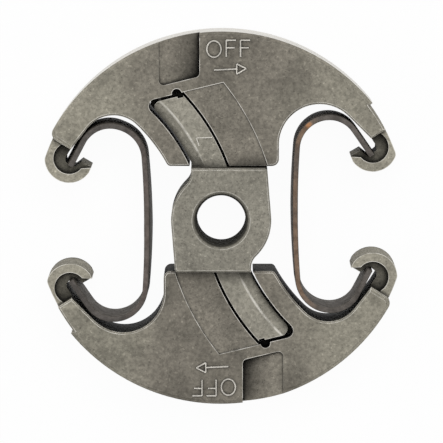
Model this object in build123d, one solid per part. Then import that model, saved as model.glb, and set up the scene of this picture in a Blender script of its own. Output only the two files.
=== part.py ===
"""Two-shoe centrifugal clutch: a threaded hub, two friction shoes and two C-shaped strip springs.

The origin is on the bore axis in the plane of the shoes' rear faces, +Z points out of the front
face and +X and +Y lie in the plane of the shoes.  Everything is two-fold symmetric about Z, so the
upper shoe and the left spring are drawn and then turned by half a turn.  Each shoe slides on a hub
arm whose flanks are arcs about the shoe's swing centre.  Dimensions are in millimetres.
"""
from build123d import *
import os
from math import acos, atan2, cos, degrees, radians, sin, sqrt

# Drum and swing of the upper shoe
DRUM_RADIUS = 36.3
SWING_DEG = 1.95
SWING_X = -36.5
SWING_Y = -4.0

# Levels along the axis
SHOE_THICKNESS = 12.5
HUB_PROUD = 3.2
HUB_THICKNESS = 11.5
PLATE_THICKNESS = 3.8
ARM_DROP = 0.4
TONGUE_DROP = 0.25
AXIAL_GAP = 0.3
HOOK_DROP = 1.7
SHELF_DROP = 2.0
SPRING_WIDTH = 12.0
SPRING_DROP = 0.1

# Hub block and bore
FLATS_ACROSS = 19.4
BLOCK_OVERHANG = 0.14
NECK_X = 5.6
NECK_STEP = 0.38
BOSS_RADIUS = 9.35
NECK_FILLET = 3.0
THREAD_PITCH_DIAMETER = 9.35
BORE_CHAMFER = 0.75
BLOCK_CORNER = 0.6

# Arm, slot and tongue: widths along a radius from the swing centre
LEG_CLEARANCE = 0.55
ARM_WIDTH = 5.85
TONGUE_CLEARANCE = 0.5
PLATE_WIDTH = 12.85
PLATE_CLEARANCE = 0.3
ARM_BEVEL = 1.75
ARM_BEVEL_DROP = 1.0
ARM_END_RADIUS = 1.3
ARM_STEP_WIDTH = 1.1
ARM_STEP_DEPTH = 0.35
PLATE_CORNER = 0.8
SLOT_END_RADIUS = 1.4

# Closed end of the slot, a line that rises to the right
SLOT_END_Y = 25.5
SLOT_END_DEG = 13.7
ARM_END_GAP = 0.6
PLATE_END_GAP = 0.25
NOTCH_RADIUS = 0.92
NOTCH_OFFSET = 1.3

# Shoe outline
STOP_GAP = 0.2
LEG_CORNER = 0.9
HEEL_CORNER = 1.3
RELIEF_DROP = 1.4
RELIEF_START_DEG = 37.5
RIM_CORNER = 1.5
RIM_CHAMFER = 0.45
EDGE_BREAK = 0.3

# Spring hooks: their places and how far the rim trims them, then offsets from a hook towards the bore
# and upwards
HOOK_LEFT_DEG = 158.55
HOOK_LEFT_TRIM = 0.32
HOOK_RIGHT_DEG = 25.1
HOOK_RIGHT_TRIM = 1.06
HOOK_RADIUS = 4.6
HOOK_RIM = 1.65
HOOK_BLEND = 1.5
LEDGE_DEG = 148.0
LEDGE_IN = (0.35, 1.75)
LEDGE_RIM = 2.0
TIP_OUTER = (3.6, -3.0)
TIP_INNER = (4.1, -1.8)
MOUTH_CORNER = (2.3, -0.75)
SEAT_INNER = (1.1, -1.7)
SEAT_TOE = (0.4, -1.7)
SEAT_OUTER = (-0.75, -0.75)

# Bays of the springs between hook, leg and heel: offsets from the hook and radii
BAY_LEFT = (8.4, 2.0)
BAY_LEFT_RADIUS = 6.2
BAY_RIGHT = (10.0, 0.6)
BAY_RIGHT_RADIUS = 7.6

# Tool pocket in the rim
POCKET_LEFT = -11.65
POCKET_RIGHT = -4.05
POCKET_DEPTH = 2.5
POCKET_STEP = 0.5
POCKET_OFFSET = 2.1
POCKET_CORNER = 0.9

# Left spring: one bend in the left bay, one in the right bay of the lower shoe, and a bowed run
SPRING_THICKNESS = 1.0
SPRING_BOW_RADIUS = 155.0
UPPER_GAP = 1.6
UPPER_SHIFT = 0.5
UPPER_SHOULDER = 6.3
UPPER_BEND = 5.5
UPPER_END = (0.7, -1.3)
LOWER_GAP = 2.0
LOWER_SHIFT = 1.85
LOWER_SHOULDER = 6.1
LOWER_BEND = 5.6
LOWER_END = (0.4, -1.25)

# Levels and radii that follow from the sizes above
FAR = 2 * DRUM_RADIUS
hub_top = SHOE_THICKNESS + HUB_PROUD
hub_bottom = hub_top - HUB_THICKNESS
plate_top = hub_bottom + PLATE_THICKNESS
tongue_rear = plate_top + AXIAL_GAP
arm_top = SHOE_THICKNESS - ARM_DROP
hook_top = SHOE_THICKNESS - HOOK_DROP
shelf_top = hook_top - SHELF_DROP
spring_top = SHOE_THICKNESS - SPRING_DROP

flat_y = FLATS_ACROSS / 2
shoe_foot = flat_y + STOP_GAP
bore_radius = THREAD_PITCH_DIAMETER / 2

relief_radius = DRUM_RADIUS - RELIEF_DROP

swing_centre = (SWING_X, SWING_Y)
arm_inner = sqrt((NECK_STEP - NECK_X - SWING_X) ** 2 + (flat_y - SWING_Y) ** 2)
arm_outer = arm_inner + ARM_WIDTH
leg_inner = arm_inner - LEG_CLEARANCE
slot_outer = arm_outer + TONGUE_CLEARANCE
plate_outer = arm_inner + PLATE_WIDTH
pocket_outer = plate_outer + PLATE_CLEARANCE
flat_right = SWING_X + sqrt(plate_outer ** 2 - (flat_y - SWING_Y) ** 2) + BLOCK_OVERHANG

swing_axis = Axis((SWING_X, SWING_Y, 0), (0, 0, 1))
half_turn = Rot(0, 0, 180)


def turned(point, centre, angle):
    """The point turned by an angle in degrees about a centre."""
    dx, dy = point[0] - centre[0], point[1] - centre[1]
    c, s = cos(radians(angle)), sin(radians(angle))
    return (centre[0] + c * dx - s * dy, centre[1] + s * dx + c * dy)


def polar(centre, radius, angle):
    """The point at a radius and an angle in degrees from a centre."""
    return (centre[0] + radius * cos(radians(angle)), centre[1] + radius * sin(radians(angle)))


def bearing(centre, point):
    """The angle in degrees of a point seen from a centre."""
    return degrees(atan2(point[1] - centre[1], point[0] - centre[0]))


def spread(centre, point):
    """The distance between two points."""
    return sqrt((point[0] - centre[0]) ** 2 + (point[1] - centre[1]) ** 2)


def touch(point, centre, radius, side):
    """Where a line from a point touches a circle; side +1 or -1 picks one of the two tangents."""
    opening = degrees(acos(radius / spread(centre, point)))
    return polar(centre, radius, bearing(centre, point) + side * opening)


def disc(centre, radius):
    """A filled circle about a centre."""
    return Pos(*centre) * Circle(radius)


def ring(inner, outer):
    """A ring about the swing centre."""
    return disc(swing_centre, outer) - disc(swing_centre, inner)


def polygon(*points):
    """A filled polygon through the points."""
    return make_face(Polyline(*points, close=True))


def block(sketch, low, high):
    """A sketch raised between two levels."""
    return extrude(Pos(0, 0, low) * sketch, high - low)


def at(sketch, x, y):
    """The vertex of a sketch nearest to a point."""
    return sketch.vertices().sort_by_distance((x, y, 0))[0]


def below_end(gap=0.0):
    """The half plane under the slot's closed end, lowered by a gap."""
    edge = Rectangle(2 * FAR, 2 * FAR, align=(Align.CENTER, Align.MAX))
    return Pos(0, SLOT_END_Y) * Rot(0, 0, SLOT_END_DEG) * Pos(0, -gap) * edge


def end_point(radius, gap=0.0):
    """Where a circle about the swing centre meets the slot's closed end, lowered by a gap."""
    slope = radians(SLOT_END_DEG)
    foot = (-SWING_X * -sin(slope) + (SLOT_END_Y - SWING_Y) * cos(slope)) - gap
    along = sqrt(radius ** 2 - foot ** 2)
    return (SWING_X + along * cos(slope) - foot * sin(slope),
            SWING_Y + along * sin(slope) + foot * cos(slope))


def ray_hit(centre, radius, angle):
    """Where a ray from the bore axis at an angle leaves a circle."""
    dx, dy = cos(radians(angle)), sin(radians(angle))
    lead = dx * centre[0] + dy * centre[1]
    reach = lead + sqrt(lead ** 2 - centre[0] ** 2 - centre[1] ** 2 + radius ** 2)
    return (reach * dx, reach * dy)


def line_hit(point, direction, centre, radius):
    """Where a line from a point leaves a circle."""
    lead = (point[0] - centre[0]) * direction[0] + (point[1] - centre[1]) * direction[1]
    reach = -lead + sqrt(lead ** 2 - spread(centre, point) ** 2 + radius ** 2)
    return (point[0] + reach * direction[0], point[1] + reach * direction[1])


def meeting(first, first_radius, second, second_radius):
    """The left one of the two points where two circles, one above the other, meet."""
    apart = spread(first, second)
    along = (first_radius ** 2 - second_radius ** 2 + apart ** 2) / (2 * apart)
    aside = degrees(acos(along / first_radius))
    return polar(first, first_radius, bearing(first, second) - aside)


def arc(centre, radius, start, end):
    """An arc about a centre from one angle to another, in degrees."""
    middle = polar(centre, radius, (start + end) / 2)
    return ThreePointArc(polar(centre, radius, start), middle, polar(centre, radius, end))


def arm_side(low):
    """The quarter plane right of the swing centre and above a level, which holds the arm."""
    return Pos(SWING_X, low) * Rectangle(FAR, FAR, align=(Align.MIN, Align.MIN))


def hub_outline():
    """The boss with its spanner flats and the rounded webs of its two necks."""
    corner = (flat_right, flat_y)
    shoulder = touch(corner, (0, 0), BOSS_RADIUS, -1)
    half = polygon((-NECK_X, 0), shoulder, corner, (-NECK_X, flat_y))
    half = fillet(at(half, *corner), BLOCK_CORNER)
    round_x = -NECK_X - NECK_FILLET
    round_y = sqrt((BOSS_RADIUS + NECK_FILLET) ** 2 - round_x ** 2)
    web = polygon((0, 0), (round_x, round_y), (-NECK_X, round_y)) - disc((round_x, round_y), NECK_FILLET)
    web = web & Pos(0, flat_y) * Rectangle(2 * FAR, FAR, align=(Align.CENTER, Align.MAX))
    half = half + web
    return Circle(BOSS_RADIUS) + half + half_turn * half


def arm_outline(outer, end_gap, corner):
    """One arm between its inner arc and an outer arc about the swing centre, with a rounded corner."""
    arm = ring(arm_inner, outer) & below_end(end_gap) & arm_side(flat_y - BLOCK_CORNER)
    arm = fillet(at(arm, *end_point(arm_inner, end_gap)), corner)
    neck_y = SWING_Y + sqrt(arm_inner ** 2 - (NECK_X + SWING_X) ** 2)
    return arm + polygon((-NECK_X, 0), (0, 0), (-NECK_X, neck_y))


def make_hub():
    """The threaded hub: boss block, two arms and the plate that runs behind the shoes' tongues."""
    outline = hub_outline()
    boss = block(outline, plate_top, hub_top)
    boss = chamfer(boss.faces().sort_by(Axis.Z)[-1].edges(), EDGE_BREAK)

    step = Rectangle(ARM_STEP_WIDTH, ARM_STEP_DEPTH, align=(Align.MAX, Align.MAX))
    step = Pos(*end_point(arm_outer, ARM_END_GAP)) * Rot(0, 0, SLOT_END_DEG) * step
    rib = block(arm_outline(arm_outer, ARM_END_GAP, ARM_END_RADIUS) - step, plate_top, arm_top)
    ridge = arm_inner + ARM_BEVEL
    bevel_run = 2 * ARM_BEVEL
    bevel_fall = 2 * ARM_BEVEL_DROP
    bevel = polygon((ridge, arm_top), (ridge - bevel_run, arm_top), (ridge - bevel_run, arm_top - bevel_fall))
    bevel = revolve(Pos(SWING_X, SWING_Y, 0) * Plane.XZ * bevel, swing_axis)
    rib = rib - bevel

    plate_arm = arm_outline(plate_outer, PLATE_END_GAP, PLATE_CORNER)
    plate = block(outline + plate_arm + half_turn * plate_arm, hub_bottom, plate_top)
    hub = plate + boss + rib + half_turn * rib
    hub = hub - block(Circle(bore_radius), hub_bottom, hub_top)
    rims = [e for e in hub.edges().filter_by(GeomType.CIRCLE) if abs(e.radius - bore_radius) < 1e-6]
    return chamfer(rims, BORE_CHAMFER)


def hook_spots(hook, side):
    """Named corners of a spring hook; u runs from the hook towards the bore, v runs up."""
    def spot(u, v):
        return (hook[0] - side * u, hook[1] + v)
    ledge_in = spot(*LEDGE_IN)
    direction = (-side * cos(radians(LEDGE_DEG)), sin(radians(LEDGE_DEG)))
    ledge_out = line_hit(ledge_in, direction, (0, 0), relief_radius)
    return spot, ledge_in, ledge_out, direction


def shoe_outline():
    """The shoe's full-depth outline, without its hooks and its slot."""
    _, right_in, right_out, _ = hook_spots(hook_right, 1)
    _, left_in, _, ledge = hook_spots(hook_left, -1)
    rest = turned((0, 0), swing_centre, -SWING_DEG)
    face_start = ray_hit(rest, DRUM_RADIUS, RELIEF_START_DEG)
    face_end = line_hit(left_in, ledge, rest, DRUM_RADIUS)
    leg_outer = spread(swing_centre, bay_left) + BAY_LEFT_RADIUS
    leg_turn = bearing(swing_centre, bay_left)
    heel = (bay_right[0] - BAY_RIGHT_RADIUS, shoe_foot)
    foot = (SWING_X + sqrt(leg_outer ** 2 - (shoe_foot - SWING_Y) ** 2), shoe_foot)
    edges = [
        Line(heel, (heel[0], bay_right[1])),
        arc(bay_right, BAY_RIGHT_RADIUS, 180, bearing(bay_right, right_touch)),
        Line(right_touch, right_in),
        Line(right_in, right_out),
        arc((0, 0), relief_radius, bearing((0, 0), right_out), RELIEF_START_DEG),
        Line(polar((0, 0), relief_radius, RELIEF_START_DEG), face_start),
        arc(rest, DRUM_RADIUS, bearing(rest, face_start), bearing(rest, face_end)),
        Line(face_end, left_in),
        Line(left_in, left_touch),
        arc(bay_left, BAY_LEFT_RADIUS, bearing(bay_left, left_touch), leg_turn),
        arc(swing_centre, leg_outer, leg_turn, bearing(swing_centre, foot)),
        Line(foot, heel),
    ]
    outline = make_face(edges)
    outline = fillet(at(outline, *heel), HEEL_CORNER)
    outline = fillet(at(outline, *face_end), RIM_CORNER)
    return fillet(at(outline, *foot), LEG_CORNER)


def slot_outline():
    """The slot for the hub arm, rounded where the leg meets its closed end."""
    slot = ring(leg_inner, slot_outer) & below_end() & arm_side(0)
    return fillet(at(slot, *end_point(leg_inner)), SLOT_END_RADIUS)


def slot_notch():
    """The blind relief notch in the slot's closed end, as deep as the tongue is thick."""
    centre = polar(end_point(slot_outer), NOTCH_OFFSET, 180 + SLOT_END_DEG)
    return block(disc(centre, NOTCH_RADIUS), tongue_rear, SHOE_THICKNESS)


def make_hook(hook, side, bay_touch):
    """A spring hook: a raised rim round a lower shelf, open where the spring's end sits."""
    spot, ledge_in, ledge_out, direction = hook_spots(hook, side)
    shelf_radius = HOOK_RADIUS - HOOK_RIM
    beyond = (ledge_out[0] + HOOK_RADIUS * direction[0], ledge_out[1] + HOOK_RADIUS * direction[1])
    web = polygon(ledge_in, beyond, spot(-2 * HOOK_RADIUS, 0), hook)
    lobe = (disc(hook, HOOK_RADIUS) + web) & disc((0, 0), relief_radius)
    lobe = fillet(at(lobe, *spot(-HOOK_RADIUS, 0)), HOOK_BLEND)
    mouth = polygon(
        spot(*TIP_OUTER), spot(*TIP_INNER), spot(*MOUTH_CORNER),
        spot(*SEAT_INNER), spot(*SEAT_TOE), spot(*SEAT_OUTER), spot(SEAT_OUTER[0], 0), ledge_in, bay_touch,
        spot(2 * HOOK_RADIUS, HOOK_RADIUS), spot(2 * HOOK_RADIUS, -HOOK_RADIUS),
        spot(TIP_OUTER[0], -HOOK_RADIUS),
    )
    hook_face = lobe - mouth
    rim_ledge = (ledge_in[0] + LEDGE_RIM * direction[0], ledge_in[1] + LEDGE_RIM * direction[1])
    shelf_edge = polar(hook, shelf_radius, -90 - 50 * side)
    shelf = disc(hook, shelf_radius)
    shelf = shelf + polygon(hook, spot(-shelf_radius, 0), rim_ledge, ledge_in)
    shelf = shelf + polygon(hook, spot(*MOUTH_CORNER), spot(*TIP_INNER), shelf_edge)
    return block(hook_face, 0, shelf_top) + block(hook_face - shelf, shelf_top, hook_top)


def tool_pocket():
    """The pocket that a stop tool seats in: its floor rises to the left and it is open at the rim."""
    plan = polygon((POCKET_LEFT, 0), (POCKET_RIGHT, 0), (POCKET_RIGHT, FAR), (POCKET_LEFT, FAR))
    plan = plan - below_end(-POCKET_OFFSET)
    plan = fillet([at(plan, x, SLOT_END_Y) for x in (POCKET_LEFT, POCKET_RIGHT)], POCKET_CORNER)
    ramp = polygon((POCKET_LEFT, SHOE_THICKNESS), (POCKET_RIGHT, SHOE_THICKNESS),
                   (POCKET_RIGHT, SHOE_THICKNESS - POCKET_DEPTH), (POCKET_LEFT, SHOE_THICKNESS - POCKET_STEP))
    ramp = extrude(Plane.XZ * ramp, -FAR)
    return ramp & block(plan, 0, SHOE_THICKNESS)


def make_shoe():
    """The upper shoe: friction face, slot, tongue, leg, heel, tool pocket and two spring hooks."""
    shoe = block(shoe_outline(), 0, SHOE_THICKNESS)
    face = [e for e in shoe.edges().filter_by(GeomType.CIRCLE) if abs(e.radius - DRUM_RADIUS) < 1e-6]
    shoe = chamfer(face, RIM_CHAMFER)
    shoe = chamfer(shoe.faces().sort_by(Axis.Z)[-1].edges(), EDGE_BREAK)
    shoe = shoe - block(slot_outline(), 0, SHOE_THICKNESS) - slot_notch()
    plate_room = ring((arm_outer + slot_outer) / 2, pocket_outer) & below_end() & arm_side(0)
    shoe = shoe - block(plate_room, 0, tongue_rear) - tool_pocket()
    shoe = shoe - block(plate_room, SHOE_THICKNESS - TONGUE_DROP, SHOE_THICKNESS)
    return shoe + make_hook(hook_right, 1, right_touch) + make_hook(hook_left, -1, left_touch)


def spring_flank(inset):
    """One face of the left spring, a distance inside its middle line, with its top and bottom ends."""
    upper = (bay_left[0] - UPPER_SHIFT,
             bay_left[1] + BAY_LEFT_RADIUS - UPPER_GAP - SPRING_THICKNESS / 2 - UPPER_SHOULDER)
    lower = (-bay_right[0] - LOWER_SHIFT,
             -bay_right[1] - BAY_RIGHT_RADIUS + LOWER_GAP + SPRING_THICKNESS / 2 + LOWER_SHOULDER)
    upper_tip = hook_spots(hook_left, -1)[0](*UPPER_END)
    lower_tip = turned(hook_spots(hook_right, 1)[0](*LOWER_END), (0, 0), 180)
    upper_bend = (upper[0], upper[1] + UPPER_SHOULDER - UPPER_BEND)
    lower_bend = (lower[0], lower[1] - LOWER_SHOULDER + LOWER_BEND)
    upper_turn = bearing(upper_bend, touch(upper_tip, upper_bend, UPPER_BEND, -1))
    lower_turn = bearing(lower_bend, touch(lower_tip, lower_bend, LOWER_BEND, 1))
    bow = meeting(upper, SPRING_BOW_RADIUS - UPPER_SHOULDER, lower, SPRING_BOW_RADIUS - LOWER_SHOULDER)
    bow_top, bow_foot = bearing(bow, upper), bearing(bow, lower)
    top_end = polar(upper_tip, -inset, upper_turn)
    bottom_end = polar(lower_tip, -inset, lower_turn)
    edges = [
        Line(top_end, polar(upper_bend, UPPER_BEND - inset, upper_turn)),
        arc(upper_bend, UPPER_BEND - inset, upper_turn, 90),
        arc(upper, UPPER_SHOULDER - inset, 90, bow_top),
        arc(bow, SPRING_BOW_RADIUS - inset, bow_top, bow_foot),
        arc(lower, LOWER_SHOULDER - inset, bow_foot, -90),
        arc(lower_bend, LOWER_BEND - inset, -90, lower_turn),
        Line(polar(lower_bend, LOWER_BEND - inset, lower_turn), bottom_end),
    ]
    return edges, top_end, bottom_end


def make_spring():
    """The left spring: a flat strip on edge, bent to a C whose two ends sit in the hooks."""
    inner, inner_top, inner_bottom = spring_flank(SPRING_THICKNESS / 2)
    outer, outer_top, outer_bottom = spring_flank(-SPRING_THICKNESS / 2)
    ends = [Line(inner_top, outer_top), Line(inner_bottom, outer_bottom)]
    return block(make_face(inner + outer + ends), spring_top - SPRING_WIDTH, spring_top)


hook_left = polar((0, 0), relief_radius - HOOK_RADIUS + HOOK_LEFT_TRIM, HOOK_LEFT_DEG)
hook_right = polar((0, 0), relief_radius - HOOK_RADIUS + HOOK_RIGHT_TRIM, HOOK_RIGHT_DEG)
bay_left = hook_spots(hook_left, -1)[0](*BAY_LEFT)
bay_right = hook_spots(hook_right, 1)[0](*BAY_RIGHT)
left_touch = touch(hook_spots(hook_left, -1)[1], bay_left, BAY_LEFT_RADIUS, -1)
right_touch = touch(hook_spots(hook_right, 1)[1], bay_right, BAY_RIGHT_RADIUS, 1)
shoe = make_shoe()
spring = make_spring()
nodes = {
    "hub": make_hub(),
    "shoe_upper": shoe,
    "shoe_lower": half_turn * shoe,
    "spring_left": spring,
    "spring_right": half_turn * spring,
}
os.makedirs("parts", exist_ok=True)
for name, node in nodes.items():
    export_step(node, f"parts/{name}.step")
    print(name, "volume", round(node.volume), "mm3")
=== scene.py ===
# %% [markdown]
# # A centrifugal clutch, dressed for a product photograph
# The solids of the clutch come from the CAD model: a threaded hub, two friction shoes and two strip
# springs. This lesson loads them as a fixed frame, sets the camera over them, gives the sintered steel
# and the tempered springs their finish, and adds what the solids lack: a bevel on the hub's arms, springs
# made in two halves that meet at the waist, the raised lettering, the thread of the bore and a mark left
# by the press tool.

# %% Load the solids
import bpy
import numpy as np
from mathutils import Matrix, Vector


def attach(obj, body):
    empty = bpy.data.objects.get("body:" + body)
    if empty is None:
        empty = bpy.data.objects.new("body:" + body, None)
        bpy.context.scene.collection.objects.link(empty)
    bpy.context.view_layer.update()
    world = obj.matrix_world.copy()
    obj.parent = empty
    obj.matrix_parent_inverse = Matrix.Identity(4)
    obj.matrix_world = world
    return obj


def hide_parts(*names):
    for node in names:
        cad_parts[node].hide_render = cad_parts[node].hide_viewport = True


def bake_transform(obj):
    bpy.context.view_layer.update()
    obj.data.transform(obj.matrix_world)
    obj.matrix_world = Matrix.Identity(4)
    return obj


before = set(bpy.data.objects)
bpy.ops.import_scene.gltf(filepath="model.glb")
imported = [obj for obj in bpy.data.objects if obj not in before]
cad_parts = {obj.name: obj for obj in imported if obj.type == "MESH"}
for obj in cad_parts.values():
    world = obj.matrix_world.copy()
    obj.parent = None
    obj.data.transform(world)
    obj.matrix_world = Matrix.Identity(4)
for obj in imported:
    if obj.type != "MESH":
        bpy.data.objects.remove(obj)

MM = 0.001
scene = bpy.context.scene
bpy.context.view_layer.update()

# %% [markdown]
# ## The camera
# The photograph looks almost straight down, from a little beyond the top of the picture, through a
# long lens. A look-at helper would turn a camera that points at the floor the wrong way up, so the
# view is built by hand from three axes: one points back from the target to the camera, one to the
# right of the picture and one to its top.

# %% Camera over the clutch
CAMERA = Vector((2.0, 78.0, 750.0)) * MM
TARGET = Vector((0.06, -0.5, 12.5)) * MM
LENS, SENSOR = 322.0, 36.0
NEAREST = 10.0 * MM

back = (CAMERA - TARGET).normalized()
right = Vector((0.0, 1.0, 0.0)).cross(back).normalized()
camera = bpy.data.objects.new("camera", bpy.data.cameras.new("camera"))
scene.collection.objects.link(camera)
camera.matrix_world = Matrix((right, back.cross(right), back)).transposed().to_4x4()
camera.location = CAMERA
camera.data.lens = LENS
camera.data.sensor_width = SENSOR
camera.data.clip_start = NEAREST
scene.camera = camera
print("camera at", tuple(round(v, 4) for v in camera.location), "lens", LENS)

# %% [markdown]
# ## Wiring a material
# Every finish below is a small network of nodes. A helper that adds a node and fills its inputs, with
# a plain value or with the output of another node, keeps each finish short enough to read as a recipe.

# %% A helper that wires nodes


class Wiring:
    """The node network of one material or world, emptied and ready for new nodes."""

    def __init__(self, owner):
        owner.use_nodes = True
        self.tree = owner.node_tree
        self.tree.nodes.clear()

    def node(self, kind, settings=(), **inputs):
        """Add a node, set its options and fill its inputs; an input name is written with underscores."""
        made = self.tree.nodes.new("ShaderNode" + kind)
        for option, value in dict(settings).items():
            setattr(made, option, value)
        for name, value in inputs.items():
            self.fill(made.inputs[name.replace("_", " ")], value)
        return made

    def fill(self, socket, value):
        """Put a value or another node's output into a socket."""
        if isinstance(value, bpy.types.NodeSocket):
            self.tree.links.new(value, socket)
        else:
            socket.default_value = value

    def maths(self, operation, first, second=0.0):
        """One sum of two numbers."""
        made = self.node("Math", {"operation": operation})
        self.fill(made.inputs[0], first)
        self.fill(made.inputs[1], second)
        return made.outputs[0]

    def product(self, first, *others):
        """Several numbers multiplied."""
        for other in others:
            first = self.maths("MULTIPLY", first, other)
        return first

    def span(self, value, low, high, start=0.0, end=1.0):
        """A value between low and high, eased onto the span from start to end."""
        made = self.node("MapRange", {"interpolation_type": "SMOOTHSTEP"}, Value=value, From_Min=low,
                         From_Max=high, To_Min=start, To_Max=end)
        return made.outputs[0]

    def mix(self, share, first, second):
        """A blend of two colours, which this node takes in its inputs 6 and 7 and gives in its output 2."""
        made = self.node("Mix", {"data_type": "RGBA"})
        self.fill(made.inputs[0], share)
        self.fill(made.inputs[6], first)
        self.fill(made.inputs[7], second)
        return made.outputs[2]

    def noise(self, place, scale, detail, roughness=0.55):
        """Cloudy noise on a place, so many clouds to the metre."""
        made = self.node("TexNoise", Vector=place, Scale=scale, Detail=detail, Roughness=roughness)
        return made.outputs["Fac"]

    def ink(self, place, scale, detail, low, high, start, end):
        """A layer of ink: noise on a place, eased from low and high onto the shades start and end."""
        return self.span(self.noise(place, scale, detail), low, high, start, end)


print("wiring ready")

# %% [markdown]
# ## Floor and light
# A product photograph is cut out on white. The floor is pale and lit by the same lamps as the clutch,
# and camera rays see most of it as plain white, so the background needs no extra light on the steel.
# Glossy rays see the same white, and a share of the paper's own shade stays as a trace of shadow.
# A wide soft lamp hangs overhead, towards the top of the picture: it leaves deep gaps black.

# %% Floor, sky and lamps
PAPER = (0.85, 0.85, 0.85, 1.0)
WHITE = (1.0, 1.0, 1.0, 1.0)
WHITE_SHARE = 0.96
FLOOR_HALF = 3.0
FLOOR_DROP = 0.2 * MM
SKY_STRENGTH = 0.3
# Each lamp: name, place in metres, size in metres and power in watts
LAMPS = (("overhead", (0.10, 0.35, 0.85), 0.8, 6.0), ("side", (-0.60, -0.10, 0.50), 0.5, 1.0))


def paper_finish():
    """Pale diffuse paper that camera, glossy and transmission rays see as nearly plain white."""
    material = bpy.data.materials.new("paper")
    wires = Wiring(material)
    ray = wires.node("LightPath").outputs
    seen = wires.maths("MAXIMUM", ray["Is Camera Ray"], ray["Is Glossy Ray"])
    seen = wires.maths("MAXIMUM", seen, ray["Is Transmission Ray"])
    blend = wires.node("MixShader", Fac=wires.maths("MULTIPLY", seen, WHITE_SHARE))
    wires.fill(blend.inputs[1], wires.node("BsdfDiffuse", Color=PAPER).outputs[0])
    wires.fill(blend.inputs[2], wires.node("Emission", Color=WHITE, Strength=1.0).outputs[0])
    wires.node("OutputMaterial", Surface=blend.outputs[0])
    return material


def soft_lamp(name, place, size, power):
    """A square lamp at a place in metres, turned towards the clutch."""
    lamp = bpy.data.lights.new(name, "AREA")
    lamp.size = size
    lamp.energy = power
    holder = bpy.data.objects.new(name, lamp)
    holder.location = place
    holder.rotation_euler = (-Vector(place)).to_track_quat("-Z", "Y").to_euler()
    scene.collection.objects.link(holder)


corners = np.array([(-1, -1, 0), (1, -1, 0), (1, 1, 0), (-1, 1, 0)]) * FLOOR_HALF - (0, 0, FLOOR_DROP)
sheet = bpy.data.meshes.new("floor")
sheet.from_pydata(corners.tolist(), [], [(0, 1, 2, 3)])
sheet.materials.append(paper_finish())
floor = bpy.data.objects.new("floor", sheet)
scene.collection.objects.link(floor)

scene.world = bpy.data.worlds.new("studio")
sky = Wiring(scene.world)
sky.node("OutputWorld", Surface=sky.node("Background", Color=WHITE, Strength=SKY_STRENGTH).outputs[0])
for lamp_facts in LAMPS:
    soft_lamp(*lamp_facts)
scene.view_settings.view_transform = "Standard"

# %% [markdown]
# ## What a surface tells about itself
# A finish follows the shape: edges rub bare and carry a painted highlight, deep corners get painted
# shade, and side walls and floors differ from the ground front, partly by painted shade. Four facts are
# enough to find all of these. Object coordinates give the place, and they stay with a piece at any pose.
# The normal tells walls from floors. Ambient occlusion tells how open a place is. A rounded normal
# differs from the true one only next to an edge, so their difference is a mask of the edges.

# %% Facts about a surface
OPEN_REACH, OPEN_SAMPLES = 4.0 * MM, 12
EDGE_REACH, EDGE_SAMPLES = 0.2 * MM, 8
EDGE_LEAN, EDGE_OPEN = (0.04, 0.18), (0.55, 0.75)


def surface_facts(wires):
    """The place, its x, y and z, the size of its normal's z, how open it is and the mask of its edges."""
    place = wires.node("TexCoord").outputs["Object"]
    spot = wires.node("SeparateXYZ", Vector=place).outputs
    normal = wires.node("NewGeometry").outputs["Normal"]
    level = wires.maths("ABSOLUTE", wires.node("SeparateXYZ", Vector=normal).outputs["Z"])
    openness = wires.node("AmbientOcclusion", {"samples": OPEN_SAMPLES}, Distance=OPEN_REACH).outputs["AO"]
    turn = wires.node("VectorMath", {"operation": "DOT_PRODUCT"})
    wires.fill(turn.inputs[0], wires.node("Bevel", {"samples": EDGE_SAMPLES}, Radius=EDGE_REACH).outputs[0])
    wires.fill(turn.inputs[1], normal)
    lean = wires.maths("SQRT", wires.maths("MAXIMUM", wires.maths("SUBTRACT", 1.0, turn.outputs["Value"])))
    edge = wires.product(wires.span(lean, *EDGE_LEAN), wires.span(openness, *EDGE_OPEN))
    return place, spot, level, openness, edge


def off_axis(wires, spot, x=0.0, y=0.0):
    """How far a place is from an upright axis: the length of (its x - x, its y - y)."""
    away = wires.node("VectorMath", {"operation": "DISTANCE"})
    wires.fill(away.inputs[0], wires.node("CombineXYZ", X=spot["X"], Y=spot["Y"]).outputs[0])
    wires.fill(away.inputs[1], (x * MM, y * MM, 0.0))
    return away.outputs["Value"]


print("edges show within", EDGE_REACH, "m")

# %% [markdown]
# ## Sintered steel
# The hub and the shoes are pressed from iron powder and sintered. The surface is matt and mottled:
# brown-grey near the middle, olive towards the ends, with a grain from the powder, dark pores and
# light specks. Each of these is noise at its own scale, and they are multiplied as layers of ink
# would be. Corners and gaps get painted shade. Bare metal covers the edges in patches, and a painted
# highlight makes them brighter.

# %% Powder steel
# The tone of worn edges is painted light: partly bare metal, partly a painted highlight.
BARE_METAL_AND_GLINT = (0.85, 0.82, 0.75, 1.0)
MIDDLE_REACH, ENDS_REACH = 6.0 * MM, 28.0 * MM
# Noise: clouds to the metre, detail and roughness
DRIFT, GRAIN = (70.0, 2.0), (1300.0, 5.0, 0.8)
# Ink: clouds to the metre, detail, low and high noise, and the shade at each of the two
CLOUDS, STAINS = (170.0, 3.0, 0.25, 0.75, 0.9, 1.1), (115.0, 4.0, 0.5, 0.7, 1.0, 0.85)
PORES, SPECKS = (2400.0, 2.0, 0.30, 0.38, 0.6, 1.0), (1700.0, 2.0, 0.62, 0.72, 1.0, 1.45)
PATCHES = (420.0, 3.0, 0.3, 0.62, 0.18, 1.0)
# Low and high value, and the shade or roughness at each of the two
GRAIN_SHADE, PAINTED_CAVITY_SHADE, GRAIN_ROUGH = (0.25, 0.75, 0.66, 1.34), (0.2, 0.92, 0.08, 1.0), (0.3, 0.7, 0.75, 0.6)
BUMP_HIGH, BUMP_STRENGTH, SPECULAR, DULL_METAL = 0.1 * MM, 0.3, 0.12, 0.08


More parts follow.
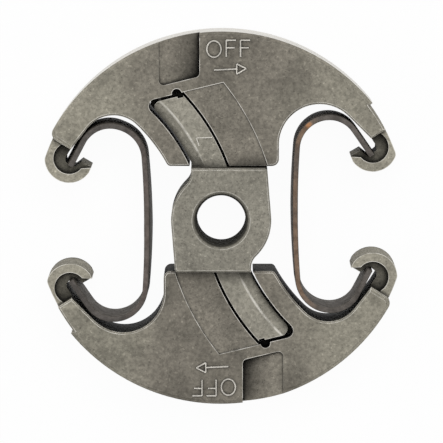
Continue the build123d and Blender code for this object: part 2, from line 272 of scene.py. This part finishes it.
def powder_colour(wires, facts, middle, ends, *shades):
    """Colour and grain: tone x clouds x stains x grain x pores x specks x painted shade x shades, then glinting
    bare edges.
    """
    place, spot, _, openness, edge = facts
    drift = wires.maths("SUBTRACT", wires.noise(place, *DRIFT), 0.5)
    outward = wires.span(wires.maths("ABSOLUTE", spot["X"]), MIDDLE_REACH, ENDS_REACH)
    outward = wires.maths("ADD", outward, drift)
    tone = wires.mix(wires.span(outward, 0.0, 1.0), (*middle, 1.0), (*ends, 1.0))
    grain = wires.noise(place, *GRAIN)
    # The openness layer is painted shade: ambient occlusion darkens the colour in corners and gaps.
    layers = wires.product(
        wires.ink(place, *CLOUDS), wires.ink(place, *STAINS), wires.span(grain, *GRAIN_SHADE),
        wires.ink(place, *PORES), wires.ink(place, *SPECKS), wires.span(openness, *PAINTED_CAVITY_SHADE), *shades)
    dull = wires.node("VectorMath", {"operation": "SCALE"}, Scale=layers)
    wires.fill(dull.inputs[0], tone)
    return wires.mix(wires.product(edge, wires.ink(place, *PATCHES)), dull.outputs[0], BARE_METAL_AND_GLINT), grain


def close_steel(wires, colour, grain, metallic=DULL_METAL, gloss=1.0):
    """Close a steel recipe: its colour, a bump from its grain and a roughness that the gloss scales."""
    bump = wires.node("Bump", Strength=BUMP_STRENGTH, Distance=BUMP_HIGH, Height=grain)
    rough = wires.product(wires.span(grain, *GRAIN_ROUGH), gloss)
    wires.node("OutputMaterial", Surface=wires.node(
        "BsdfPrincipled", Base_Color=colour, Metallic=metallic, Roughness=rough,
        Specular_IOR_Level=SPECULAR, Normal=bump.outputs[0]).outputs[0])


print("powder steel ready")

# %% [markdown]
# ## The shoes
# The front of a shoe is stained from handling, and what lies lower, such as the tongue and the hooks, is
# a little lighter. The tool pocket is painted darker with depth as shade, and between the hooks all walls
# are painted dark as shade. Every crease, such as the feet of the lettering, gets grime and painted shade:
# ambient occlusion with a short reach finds it. Where the pocket's floor rises to the front as a ramp, no
# bare line shows.
# The friction face is turned to the radius of the drum and runs bright, with fine rings from the lathe:
# noise that is stretched around the axis and kept fine along it. The face is the only part of a shoe so
# far from the drum's axis, and each shoe rests with its own axis a little off the bore.

# %% Finish of the shoes
SHOE_MIDDLE, SHOE_ENDS = (0.195, 0.178, 0.147), (0.285, 0.267, 0.216)
GROOVE = (0.45, 0.43, 0.395, 1.0)
LATHE, RINGS = (0.02, 0.02, 1.0), (4500.0, 3.0, 0.3, 0.6, 0.0, 1.0)
HANDLING = (130.0, 3.0, 0.42, 0.68, 1.08, 0.82)
WALL_LEVEL, FLOOR_LEVEL = 0.3, 0.6
CREASE_REACH, CREASE_SAMPLES, CREASE_GRIME_AND_SHADE = 0.8 * MM, 8, (0.5, 0.95, 0.4, 1.0)
PAINTED_SUNK_SHADE, PAINTED_WALL_SHADE, LOWER_SHADE = 0.68, 0.26, 1.15
RIM_EDGE, RAMP_EDGE = 0.15, 0.1
FACE_METAL, FACE_GLOSS = 0.9, 0.55
HOOK_START, HOOK_END = 20.0 * MM, 22.0 * MM
POCKET_FLOOR, POCKET_BRIM = 10.0 * MM, 12.2 * MM
TONGUE_LEVEL, FACE_LEVEL = 12.3 * MM, 12.4 * MM
DRUM_X, DRUM_Y, DRUM_RIM, DRUM_FACE = 0.115, -1.244, 35.5 * MM, 36.05 * MM
RIM_SOFT = 0.2 * MM
RAMP_X, RAMP_Y, RAMP_NEAR, RAMP_FAR = -11.65, 30.0, 4.0 * MM, 6.0 * MM


def shoe_finish(name, turn):
    """Powder steel with painted shade on floors, bay walls and creases, and a bright face at the drum's radius
    about its axis.
    """
    material = bpy.data.materials.new(name)
    wires = Wiring(material)
    place, spot, level, openness, edge = surface_facts(wires)
    reach = off_axis(wires, spot, turn * DRUM_X, turn * DRUM_Y)
    # Upright places; between the hooks their walls get painted shade.
    upright = wires.span(level, WALL_LEVEL, FLOOR_LEVEL, 1.0, 0.0)
    inside = wires.span(wires.maths("ABSOLUTE", spot["X"]), HOOK_START, HOOK_END, 1.0, 0.0)
    # The sunk pocket is painted darker with depth as shade.
    sunk = wires.product(inside, wires.span(spot["Z"], POCKET_FLOOR, POCKET_BRIM, 1.0, 0.0))
    # Creases get grime and painted shade from ambient occlusion with a short reach.
    crease = wires.node("AmbientOcclusion", {"samples": CREASE_SAMPLES}, Distance=CREASE_REACH).outputs["AO"]
    shade = wires.product(wires.span(crease, *CREASE_GRIME_AND_SHADE), wires.span(sunk, 0.0, 1.0, 1.0, PAINTED_SUNK_SHADE),
                          wires.span(spot["Z"], TONGUE_LEVEL, FACE_LEVEL, LOWER_SHADE, 1.0),
                          wires.span(wires.product(inside, upright), 0.0, 1.0, 1.0, PAINTED_WALL_SHADE),
                          wires.ink(place, *HANDLING))
    ramp = off_axis(wires, spot, turn * RAMP_X, turn * RAMP_Y)
    edge = wires.product(edge, wires.span(reach, DRUM_RIM - RIM_SOFT, DRUM_RIM, 1.0, RIM_EDGE),
                         wires.span(ramp, RAMP_NEAR, RAMP_FAR, RAMP_EDGE, 1.0))
    facts = place, spot, level, openness, edge
    colour, grain = powder_colour(wires, facts, SHOE_MIDDLE, SHOE_ENDS, shade)
    turned = wires.product(wires.maths("GREATER_THAN", reach, DRUM_FACE), upright)
    rings = wires.ink(wires.node("Mapping", Vector=place, Scale=LATHE).outputs[0], *RINGS)
    face = wires.mix(rings, GROOVE, BARE_METAL_AND_GLINT)
    close_steel(wires, wires.mix(turned, colour, face), grain,
                wires.span(turned, 0.0, 1.0, DULL_METAL, FACE_METAL),
                wires.span(turned, 0.0, 1.0, 1.0, FACE_GLOSS))
    return material


def dress(node, finish):
    """Give a solid of the frame one finish."""
    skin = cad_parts[node].data.materials
    skin.clear()
    skin.append(finish)
    print(node, "wears", finish.name)


dress("shoe_upper", shoe_finish("shoe_steel_upper", 1))
dress("shoe_lower", shoe_finish("shoe_steel_lower", -1))

# %% [markdown]
# ## The hub
# The hub has the same powder steel, a little greyer. Its side walls are painted dark as shade, and its
# bore is painted darker still, as shade in a deep hole. Beyond the spanner flats, the tops of its arms are
# ground lighter. Along the inner flank of each arm runs a bevel, which is cut further below. Its crest
# is rubbed bare and painted bright as a highlight, except near the flats.

# %% Finish of the hub
HUB_MIDDLE, HUB_ENDS = (0.265, 0.25, 0.208), (0.29, 0.273, 0.226)
BORE_EDGE, BORE_INNER, BORE_OUTER = 4.85 * MM, 0.1 * MM, 0.5 * MM
PAINTED_BORE_SHADE, BORE_RUBBED_AND_GLINT = 0.15, 0.7
FLATS, ARM_SOFT, ARM_SHADE, PAINTED_HUB_WALL_SHADE = 9.7 * MM, 0.6 * MM, 1.18, 0.6
SWING_X, SWING_Y, CREST = 36.5, 4.0, 36.15
CREST_START, CREST_FULL = 1.3 * MM, 3.3 * MM
CREST_CORE, CREST_HALF, CREST_RUBBED_AND_GLINT = 0.05 * MM, 0.32 * MM, 0.7


# The crest is rubbed bare and painted bright as a highlight.
def rubbed_crest_and_glint(wires, spot, beyond):
    """A soft line on one radius about the nearer swing centre, fading in beyond the flats."""
    centres = [off_axis(wires, spot, turn * SWING_X, turn * SWING_Y) for turn in (1, -1)]
    away = wires.maths("ABSOLUTE", wires.maths("SUBTRACT", wires.maths("MINIMUM", *centres), CREST * MM))
    return wires.product(wires.span(beyond, FLATS + CREST_START, FLATS + CREST_FULL),
                         wires.span(away, CREST_CORE, CREST_HALF, CREST_RUBBED_AND_GLINT, 0.0))


def hub_finish(name):
    """Powder steel with painted shade on walls and inside the bore's edge, and lighter arms beyond the flats."""
    material = bpy.data.materials.new(name)
    wires = Wiring(material)
    place, spot, level, openness, edge = surface_facts(wires)
    beyond = wires.maths("ABSOLUTE", spot["Y"])
    on_arm = wires.span(beyond, FLATS, FLATS + ARM_SOFT)
    # Inside the bore's edge the colour gets painted shade, and the bare edge fades.
    bore = wires.span(off_axis(wires, spot), BORE_EDGE - BORE_INNER, BORE_EDGE + BORE_OUTER, 1.0, 0.0)
    edge = wires.product(edge, wires.span(bore, 0.0, 0.5, BORE_RUBBED_AND_GLINT, 0.0))
    facts = place, spot, level, openness, wires.maths("MAXIMUM", edge, rubbed_crest_and_glint(wires, spot, beyond))
    # Side walls and the bore get painted shade.
    shades = (wires.span(level, WALL_LEVEL, FLOOR_LEVEL, PAINTED_HUB_WALL_SHADE, 1.0),
              wires.span(on_arm, 0.0, 1.0, 1.0, ARM_SHADE), wires.span(bore, 0.0, 1.0, 1.0, PAINTED_BORE_SHADE))
    close_steel(wires, *powder_colour(wires, facts, HUB_MIDDLE, HUB_ENDS, *shades))
    return material


hub_steel = hub_finish("hub_steel")
dress("hub", hub_steel)

# %% [markdown]
# ## Tempered strip
# The springs are rolled strip, hardened and tempered. They are darker than the powder steel. Their
# sheared edges, which face the camera, are lighter than their flat sides and have a brown bloom from
# the temper heat. One spring has bloomed more than the other, with an orange spot on its bend.

# %% Finish of the springs
FLAT_SIDE = (0.125, 0.112, 0.098, 1.0)
DARK_EDGE, DARK_BLOOM = (0.105, 0.095, 0.087), (0.13, 0.108, 0.096)
BROWN_EDGE, BROWN_BLOOM, ORANGE = (0.12, 0.107, 0.096), (0.205, 0.14, 0.097), (0.38, 0.19, 0.09)
BLOOM_NEAR, BLOOM_FAR, BLOOM_INK = 15.5 * MM, 19.0 * MM, (140.0, 3.0, 0.3, 0.55, 0.3, 1.0)
STRIP_GRAIN, STRIP_SHADE = (600.0, 5.0, 0.7), (0.25, 0.75, 0.65, 1.35)
SIDE_LEVEL, EDGE_LEVEL = 0.75, 0.98
SPOT_X, SPOT_Y, SPOT_NEAR, SPOT_FAR = 16.3, 17.6, 0.2 * MM, 0.9 * MM


def tempered_strip(name, edge_tone, bloom, spot_tone):
    """Dark strip: flat sides, edges that go from one tone to a bloom near the bore, and a spot of a third tone."""
    material = bpy.data.materials.new(name)
    wires = Wiring(material)
    place, spot, level, _, _ = surface_facts(wires)
    grain = wires.noise(place, *STRIP_GRAIN)
    bloomed = wires.product(wires.span(wires.maths("ABSOLUTE", spot["X"]), BLOOM_NEAR, BLOOM_FAR, 1.0, 0.0),
                            wires.ink(place, *BLOOM_INK))
    tone = wires.mix(bloomed, (*edge_tone, 1.0), (*bloom, 1.0))
    near = wires.span(off_axis(wires, spot, SPOT_X, SPOT_Y), SPOT_NEAR, SPOT_FAR, 1.0, 0.0)
    tone = wires.mix(near, tone, (*spot_tone, 1.0))
    tone = wires.mix(wires.span(level, SIDE_LEVEL, EDGE_LEVEL), FLAT_SIDE, tone)
    dull = wires.node("VectorMath", {"operation": "SCALE"}, Scale=wires.span(grain, *STRIP_SHADE))
    wires.fill(dull.inputs[0], tone)
    close_steel(wires, dull.outputs[0], grain)
    return material


left_strip = tempered_strip("spring_steel_left", DARK_EDGE, DARK_BLOOM, DARK_EDGE)
right_strip = tempered_strip("spring_steel_right", BROWN_EDGE, BROWN_BLOOM, ORANGE)
print("finishes", left_strip.name, right_strip.name)

# %% [markdown]
# ## Profiles along a path
# Springs, letters and thread are one idea: a closed profile carried along a path. At each point of
# the path the profile is set up on two directions across it, which gives a grid of points, ring after
# ring. The grid becomes quads in one step, and an open tube gets a flat face at either end. A ring
# close to each end keeps the flat face from bending the shading of the sides.

# %% A profile carried along a path
BRINK = 0.08


def tube(name, rings, closed=False):
    """A piece from a grid of points, rings by profile points, with faces turned to point outwards."""
    if not closed:
        first = rings[:1] + BRINK * (rings[1:2] - rings[:1])
        last = rings[-1:] + BRINK * (rings[-2:-1] - rings[-1:])
        rings = np.concatenate([rings[:1], first, rings[1:-1], last, rings[-1:]])
    count, around = rings.shape[:2]
    index = np.arange(count * around).reshape(count, around)
    near, far = (index, np.roll(index, -1, axis=0)) if closed else (index[:-1], index[1:])
    quads = np.stack([near, np.roll(near, -1, 1), np.roll(far, -1, 1), far], axis=-1).reshape(-1, 4)
    points = rings.reshape(-1, 3)
    faces = quads.tolist() + ([] if closed else [index[0, ::-1].tolist(), index[-1].tolist()])
    a, b, c, d = (points[quads[:, k]] for k in range(4))
    volume = np.einsum("ij,ij->", a, np.cross(b, c) + np.cross(c, d))
    if not closed:
        ends = np.stack([rings[0, ::-1], rings[-1]])
        middle = ends.mean(axis=1, keepdims=True)
        fan = np.cross(ends - middle, np.roll(ends, -1, axis=1) - middle).sum(axis=1)
        volume += np.einsum("ij,ij->", middle[:, 0], fan)
    if volume < 0:
        faces = [face[::-1] for face in faces]
    mesh = bpy.data.meshes.new(name)
    mesh.from_pydata(points.tolist(), [], faces)
    mesh.polygons.foreach_set("use_smooth", np.arange(len(faces)) < len(quads))
    mesh.update()
    piece = bpy.data.objects.new(name, mesh)
    scene.collection.objects.link(piece)
    return piece


def flat_sweep(line, profile, closed=False, top=0.0, foot=0.0):
    """Rings of a profile (across, up) along a flat line: point + (across + shift) x side + up x vertical.

    The shift goes from one amount at the profile's top to another at its foot.
    """
    if closed:
        ahead = np.roll(line, -1, axis=0) - np.roll(line, 1, axis=0)
    else:
        ahead = np.gradient(line, axis=0)
    ahead = ahead / np.linalg.norm(ahead, axis=1, keepdims=True)
    side = np.stack([ahead[:, 1], -ahead[:, 0]], axis=1)
    depth = (profile[:, 1].max() - profile[:, 1]) / np.ptp(profile[:, 1])
    across = profile[:, 0] + np.asarray(top)[..., None] * (1 - depth) + np.asarray(foot)[..., None] * depth
    plan = line[:, None, :] + across[..., None] * side[:, None, :]
    level = np.broadcast_to(profile[None, :, 1:], plan.shape[:2] + (1,))
    return np.concatenate([plan, level], axis=2) * MM


print("sweep ready")

# %% [markdown]
# ## Cutters for the bevel
# The inner top edge of each arm is bevelled, and the solid lacks this bevel. It could be painted, but a
# real slope takes its own light. The cutters are wedges: a triangle carried about each arm's swing
# centre, from the spanner flat to beyond the arm's end.

# %% Wedges
ARM_TOP, ARM_INNER, BEVEL_FALL, WEDGE_SPARE = 12.1, 34.12, 1.0, 0.3
WEDGE_START, WEDGE_END, WEDGE_RINGS = 9.75, 60.0, 64


def wedge_rings(turn):
    """A triangle of radius and height about a swing centre: centre + radius x (cosine, sine) of an angle.

    Every corner starts at one y beside the flat, where the sine is (y - the centre's y) / radius.
    """
    radius = np.array([CREST + WEDGE_SPARE, ARM_INNER - WEDGE_SPARE, ARM_INNER - WEDGE_SPARE])
    height = ARM_TOP + (radius - CREST) * BEVEL_FALL / (CREST - ARM_INNER)
    height[2] = height[0]
    start = np.arcsin((WEDGE_START + SWING_Y) / radius)
    angle = start + np.linspace(0, 1, WEDGE_RINGS)[:, None] * (np.radians(WEDGE_END) - start)
    plan = np.stack([radius * np.cos(angle) - SWING_X, radius * np.sin(angle) - SWING_Y], axis=2) * turn
    level = np.broadcast_to(height[:, None], plan.shape[:2] + (1,))
    return np.concatenate([plan, level], axis=2) * MM


wedges = [tube(f"wedge_{number}", wedge_rings(turn)) for number, turn in enumerate((1, -1), start=1)]
print("wedges", len(wedges))

# %% [markdown]
# ## Hub with bevelled arms
# A mesh of the frame is never changed, so a copy of the hub is cut and takes the hub's place. The
# copy's loose triangles are joined at equal points first, because a cut needs a closed body. An edge
# that bends more than the sharp angle stays crisp, and the bore stays round.

# %% Bevelled hub
SHARP_ANGLE = 0.4
SAME_POINT_DIGITS = 7


def joined_copy(name, node):
    """A solid's triangles with equal points made one, without those that shrink to a line."""
    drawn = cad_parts[node].data
    points, corners = np.empty(len(drawn.vertices) * 3), np.empty(len(drawn.loops), dtype=np.int32)
    drawn.vertices.foreach_get("co", points)
    drawn.loops.foreach_get("vertex_index", corners)
    spots, index = np.unique(points.reshape(-1, 3).round(SAME_POINT_DIGITS), axis=0, return_inverse=True)
    faces = index.reshape(-1)[corners].reshape(-1, 3)
    whole = (faces != np.roll(faces, 1, axis=1)).all(axis=1)
    mesh = bpy.data.meshes.new(name)
    mesh.from_pydata(spots.tolist(), [], faces[whole].tolist())
    piece = bpy.data.objects.new(name, mesh)
    scene.collection.objects.link(piece)
    return piece


bevelled = joined_copy("hub_bevelled", "hub")
for wedge in wedges:
    cut = bevelled.modifiers.new(wedge.name, "BOOLEAN")
    cut.operation, cut.solver, cut.object = "DIFFERENCE", "EXACT", wedge
cut_mesh = bpy.data.meshes.new_from_object(bevelled.evaluated_get(bpy.context.evaluated_depsgraph_get()))
bevelled.modifiers.clear()
bevelled.data = cut_mesh
for wedge in wedges:
    bpy.data.objects.remove(wedge)
cut_mesh.polygons.foreach_set("use_smooth", np.ones(len(cut_mesh.polygons), dtype=bool))
cut_mesh.set_sharp_from_angle(angle=SHARP_ANGLE)
cut_mesh.materials.clear()
cut_mesh.materials.append(hub_steel)
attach(bevelled, "hub")
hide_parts("hub")
print("bevelled hub", len(cut_mesh.polygons), "faces")

# %% [markdown]
# ## Strip springs
# Each spring is a flat strip on edge, bent to a C. Its middle line is a chain of arcs: a bend in each
# hook, a wider shoulder and a slightly bowed run. When a shoe swings, its hook takes one end of each
# spring along, so a rigid solid would tear from one hook. Each spring is made in two halves that meet
# at its waist.
# The strips don't stand quite upright: their feet lean out at the waist and in the upper left hook.

# %% Springs
STRIP_HALF, STRIP_LOW, STRIP_HIGH, STRIP_ROUND = 0.5, 0.4, 12.4, 0.2
STRIP_MIDDLE = (STRIP_LOW + STRIP_HIGH) / 2
BOW = ((-168.740, -1.883), 155.0)
UPPER_ARCS = ((*BOW, 0.0, 4.969), ((-20.599, 10.997), 6.3, 4.969, 90.0), ((-20.599, 11.797), 5.5, 90.0, 152.395))
LOWER_ARCS = ((*BOW, 0.0, -4.244), ((-20.249, -12.903), 6.1, -4.244, -90.0),
              ((-20.249, -13.403), 5.6, -90.0, -145.268))
# Each half: arcs, tip, the place that follows the shoe, and the sign of its outer side
UPPER_HALF = (UPPER_ARCS, (-27.91, 9.68), (-23.5, 15.0), 1)
LOWER_HALF = (LOWER_ARCS, (-28.17, -11.80), (-23.5, -16.5), -1)
UPRIGHT, LEANING = (0.0, 0.0), (0.3, 0.95)
# Each spring: side, half turn, finish, shoes at its two hooks, lean at the waist and leans of its two tails
SPRINGS = (("left", 1, left_strip, ("shoe_upper", "shoe_lower"), 0.22, (LEANING, UPRIGHT)),
           ("right", -1, right_strip, ("shoe_lower", "shoe_upper"), 0.125, (UPRIGHT, UPRIGHT)))
BEND_SHARE, TAIL_SHARE = 0.6, 0.84
STEP = 0.35
LEAST_POINTS, TAIL_POINTS, CORNER_POINTS = 8, 16, 5


def arc_points(centre, radius, start, end):
    """Points on an arc, centre + radius x (cosine, sine), a step apart and without its last point."""
    count = max(LEAST_POINTS, int(abs(np.radians(end - start)) * radius / STEP))
    angle = np.radians(np.linspace(start, end, count, endpoint=False))
    return np.array(centre) + radius * np.stack([np.cos(angle), np.sin(angle)], axis=1)


def spring_line(arcs, tip):
    """The middle line from the waist to one end: arcs joined end to end, then a straight tail."""
    centre, radius, _, end = arcs[-1]
    touch = np.array(centre) + radius * np.array([np.cos(np.radians(end)), np.sin(np.radians(end))])
    tail = touch + (np.array(tip) - touch) * np.linspace(0, 1, TAIL_POINTS)[:, None]
    return np.concatenate([arc_points(*part) for part in arcs] + [tail])


def strip_profile():
    """A rectangle with rounded corners: a quarter circle about each of four corner centres, in turn."""
    wide, low, high = STRIP_HALF - STRIP_ROUND, STRIP_LOW + STRIP_ROUND, STRIP_HIGH - STRIP_ROUND
    centres = np.array([(wide, high), (-wide, high), (-wide, low), (wide, low)])
    angle = np.radians(np.linspace(0, 90, CORNER_POINTS)[None, :] + 90 * np.arange(4)[:, None])
    bends = centres[:, None, :] + STRIP_ROUND * np.stack([np.cos(angle), np.sin(angle)], axis=2)
    return bends.reshape(-1, 2)


def spring_half(name, drawn, turn, waist, tail):
    """One half of a spring, as drawn or turned by half a turn, whose top and foot lean apart at waist and tail."""
    arcs, tip, follows, outward = drawn
    line = spring_line(arcs, tip) * turn
    share = np.linspace(0, 1, len(line))
    top, foot = (outward * np.interp(share, (0, BEND_SHARE, TAIL_SHARE), (lean, 0, end))
                 for lean, end in zip((-waist, waist), tail))
    piece = tube(name, flat_sweep(line, strip_profile(), top=top, foot=foot))
    ends = [Vector((*point, STRIP_MIDDLE)) * MM for point in (line[0], np.array(follows) * turn)]
    print(name, len(piece.data.polygons), "faces from", tuple(line[0].round(2)), "to", tuple(line[-1].round(2)))
    return piece, ends


for side, turn, finish, shoes, waist, tails in SPRINGS:
    for half, drawn, shoe, tail in zip(("near", "far"), (UPPER_HALF, LOWER_HALF), shoes, tails):
        piece, (start, end) = spring_half(f"spring_{side}_{half}", drawn, turn, waist, tail)
        piece.data.materials.append(finish)
        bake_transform(piece)
        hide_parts(f"spring_{side}")

# %% [markdown]
# ## Raised lettering
# The press tool leaves the word OFF and an arrow standing on each shoe: the way to turn the clutch to
# take it off the crankshaft. The strokes are low rounded ridges. A real font would be too even for a
# cut tool, so each stroke is a short line with a half-round profile, and the O is an ellipse. The
# lower shoe carries the same marks turned by half a turn. The strokes are painted lighter than the face
# that they stand on, partly as wear from handling and partly as a highlight.

# %% Letters and arrows
# The raised tone is painted light: partly wear, partly a highlight.
RAISED_WEAR_AND_GLINT = (0.62, 0.59, 0.53)
SHOE_TOP = 12.5
STROKE_HALF, STROKE_HIGH, STROKE_ROOT = 0.18, 0.35, 0.1
LETTER_FOOT, LETTER_HEAD, LETTER_BAR = 30.36, 33.44, 32.05
LETTER_O, O_WIDE, O_TALL = (-1.35, 31.8), 1.32, 1.52
LETTER_F, BAR_SHORTER = ((0.95, 2.75), (3.6, 5.38)), 0.25
CROWN_POINTS, STROKE_POINTS, O_POINTS = 9, 12, 48
ARROW_TAIL, ARROW_NECK, ARROW_TIP, ARROW_HALF = (-1.35, 27.9), (2.9, 28.09), (4.65, 28.17), 0.95


def ridge_profile(half, high, root, top):
    """A half ellipse over a flat root sunk below the face: half x cosine across, high x sine up."""
    angle = np.linspace(0, np.pi, CROWN_POINTS)
    crown = np.stack([half * np.cos(angle), top + high * np.sin(angle)], axis=1)
    return np.concatenate([crown, [(-half, top - root), (half, top - root)]])


def stroke(start, end):
    """Points on a straight stroke, start + share x (end - start)."""
    share = np.linspace(0, 1, STROKE_POINTS)[:, None]
    return np.array(start) * (1 - share) + np.array(end) * share


def letter_lines():
    """The lines of the word and the arrow, each with whether it is closed."""
    angle = np.linspace(0, 2 * np.pi, O_POINTS, endpoint=False)
    yield np.array(LETTER_O) + np.stack([O_WIDE * np.cos(angle), O_TALL * np.sin(angle)], axis=1), True
    for left, right_end in LETTER_F:
        yield stroke((left, LETTER_FOOT), (left, LETTER_HEAD)), False
        yield stroke((left, LETTER_HEAD), (right_end, LETTER_HEAD)), False
        yield stroke((left, LETTER_BAR), (right_end - BAR_SHORTER, LETTER_BAR)), False
    yield stroke(ARROW_TAIL, ARROW_NECK), False
    high, low = ((ARROW_NECK[0], ARROW_NECK[1] + rise) for rise in (ARROW_HALF, -ARROW_HALF))
    for start, end in ((high, low), (low, ARROW_TIP), (ARROW_TIP, high)):
        yield stroke(start, end), False


def raised_finish(name):
    """Powder steel of one light tone, partly wear and partly a painted highlight."""
    material = bpy.data.materials.new(name)
    wires = Wiring(material)
    close_steel(wires, *powder_colour(wires, surface_facts(wires), RAISED_WEAR_AND_GLINT, RAISED_WEAR_AND_GLINT))
    return material


raised_steel = raised_finish("raised_steel")
ridge = ridge_profile(STROKE_HALF, STROKE_HIGH, STROKE_ROOT, SHOE_TOP)
for shoe, turn in (("shoe_upper", 1), ("shoe_lower", -1)):
    for number, (line, closed) in enumerate(letter_lines(), start=1):
        mark = tube(f"mark_{shoe}_{number}", flat_sweep(line * turn, ridge, closed), closed)
        mark.data.materials.append(raised_steel)
        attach(mark, shoe)
    print(shoe, number, "strokes")

# %% [markdown]
# ## Thread of the bore
# The hub screws onto the crankshaft with a left-hand thread. The solid has a plain bore at the
# thread's pitch diameter, which simulation and mating need. The visible thread is a ridge on a screw
# line: its angle falls as its height grows, and its height off the wall fades out at both ends.

# %% Thread
BORE_RADIUS, THREAD_LOW, THREAD_HIGH, PITCH = 4.675, 5.1, 14.8, 1.0
RIDGE_REACH, RIDGE_ROOT, RIDGE_HALF, RIDGE_TIP = 0.12, 0.05, 0.42, 0.12
LEAST_FADE = 0.05
STEPS_PER_TURN = 60


def thread_rings():
    """Rings of a blunt wedge along a left-hand screw line: (r cos a, r sin a, z) with a = -2 pi z / pitch."""
    height = np.linspace(THREAD_LOW, THREAD_HIGH, int((THREAD_HIGH - THREAD_LOW) / PITCH * STEPS_PER_TURN))
    angle = -2 * np.pi * height / PITCH
    fade = np.clip(np.minimum(height - THREAD_LOW, THREAD_HIGH - height) / PITCH, LEAST_FADE, 1.0)
    reach = np.array([-RIDGE_ROOT, RIDGE_REACH, RIDGE_REACH, -RIDGE_ROOT])
    rise = np.array([-RIDGE_HALF, -RIDGE_TIP, RIDGE_TIP, RIDGE_HALF])
    radius = BORE_RADIUS - np.where(reach > 0, reach * fade[:, None], reach)
    return np.stack([radius * np.cos(angle)[:, None], radius * np.sin(angle)[:, None],
                     height[:, None] + rise * fade[:, None]], axis=2) * MM


thread = tube("thread", thread_rings())
thread.data.materials.append(hub_steel)
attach(thread, "hub")
print("thread", len(thread.data.polygons), "faces")

# %% [markdown]
# ## Witness line
# Where two parts of the press tool met, the upper arm of the hub keeps a fine raised line with a
# corner. It is the same half-round ridge as the letters, only thinner, and it has their light finish.

# %% Witness line on the upper arm
HAIR_HALF, HAIR_HIGH, HAIR_ROOT = 0.1, 0.07, 0.05
WITNESS_CORNER, WITNESS_ENDS = (-4.65, 15.15), ((-1.7, 15.25), (-4.15, 13.7))

hair = ridge_profile(HAIR_HALF, HAIR_HIGH, HAIR_ROOT, ARM_TOP)
for number, end in enumerate(WITNESS_ENDS, start=1):
    line = tube(f"witness_line_{number}", flat_sweep(stroke(WITNESS_CORNER, end), hair))
    line.data.materials.append(raised_steel)
    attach(line, "hub")
print("witness lines", number)
